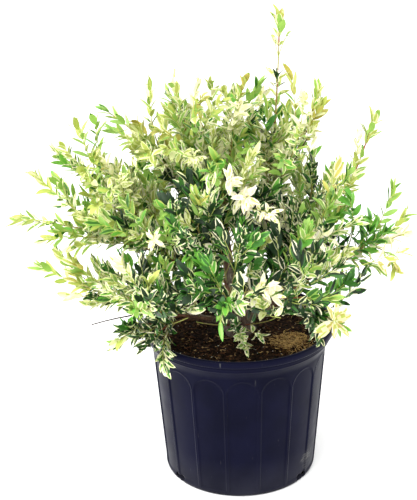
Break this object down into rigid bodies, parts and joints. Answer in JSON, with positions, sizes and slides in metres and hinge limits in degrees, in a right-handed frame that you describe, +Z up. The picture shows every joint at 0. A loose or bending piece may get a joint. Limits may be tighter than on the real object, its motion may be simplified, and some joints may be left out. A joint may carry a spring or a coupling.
{
  "type": "potted dappled willow shrub",
  "caption": "Bushy dappled willow in leaf: thin branching stems with narrow green, cream and lime leaves, rising from potting mix in a fluted round black nursery pot.",
  "frame": {"origin": "centre of the pot's flat underside", "axes": "+Z up along the pot's axis, -Y to the front, the side that the picture shows, +X to the right in the picture"},
  "size_m": [0.5888, 0.5615, 0.6908],
  "materials": {
    "pot": "blow-moulded black polyethylene with a soft sheen",
    "potting_mix": "moist bark and peat mix",
    "old_bark": "rough grey-brown bark",
    "young_bark": "smooth reddish brown bark",
    "foliage": "satin leaves, green blotched with cream and tipped with lime"
  },
  "bodies": {
    "root": {"pot": "pot", "potting_mix": "potting_mix", "root_crown": "old_bark", "stem_left_low": "young_bark", "stem_left": "young_bark", "stem_centre": "young_bark", "stem_leader": "young_bark", "stem_right": "young_bark", "stem_front": "young_bark", "stem_back": "young_bark", "bough_left_low": "young_bark", "bough_left_brim": "young_bark", "bough_front_brim": "young_bark", "bough_front_left": "young_bark", "bough_left_far": "young_bark", "bough_left_high": "young_bark", "bough_left_inner": "young_bark", "bough_back_left": "young_bark", "bough_crest_left": "young_bark", "bough_crest": "young_bark", "bough_centre": "young_bark", "bough_top": "young_bark", "bough_leader": "young_bark", "bough_top_right": "young_bark", "bough_right_high": "young_bark", "bough_right_far": "young_bark", "bough_right_low": "young_bark", "bough_right_inner": "young_bark", "bough_right_upper": "young_bark", "bough_front": "young_bark", "bough_front_high": "young_bark", "bough_front_right": "young_bark", "bough_back": "young_bark", "bough_back_right": "young_bark", "bough_back_high": "young_bark", "leaves_left_low": "foliage", "leaves_left_brim": "foliage", "leaves_front_brim": "foliage", "leaves_front_left": "foliage", "leaves_left_far": "foliage", "leaves_left_high": "foliage", "leaves_left_inner": "foliage", "leaves_back_left": "foliage", "leaves_crest_left": "foliage", "leaves_crest": "foliage", "leaves_centre": "foliage", "leaves_top": "foliage", "leaves_leader": "foliage", "leaves_top_right": "foliage", "leaves_right_high": "foliage", "leaves_right_far": "foliage", "leaves_right_low": "foliage", "leaves_right_inner": "foliage", "leaves_right_upper": "foliage", "leaves_front": "foliage", "leaves_front_high": "foliage", "leaves_front_right": "foliage", "leaves_back": "foliage", "leaves_back_right": "foliage", "leaves_back_high": "foliage"}
  },
  "joints": []
}
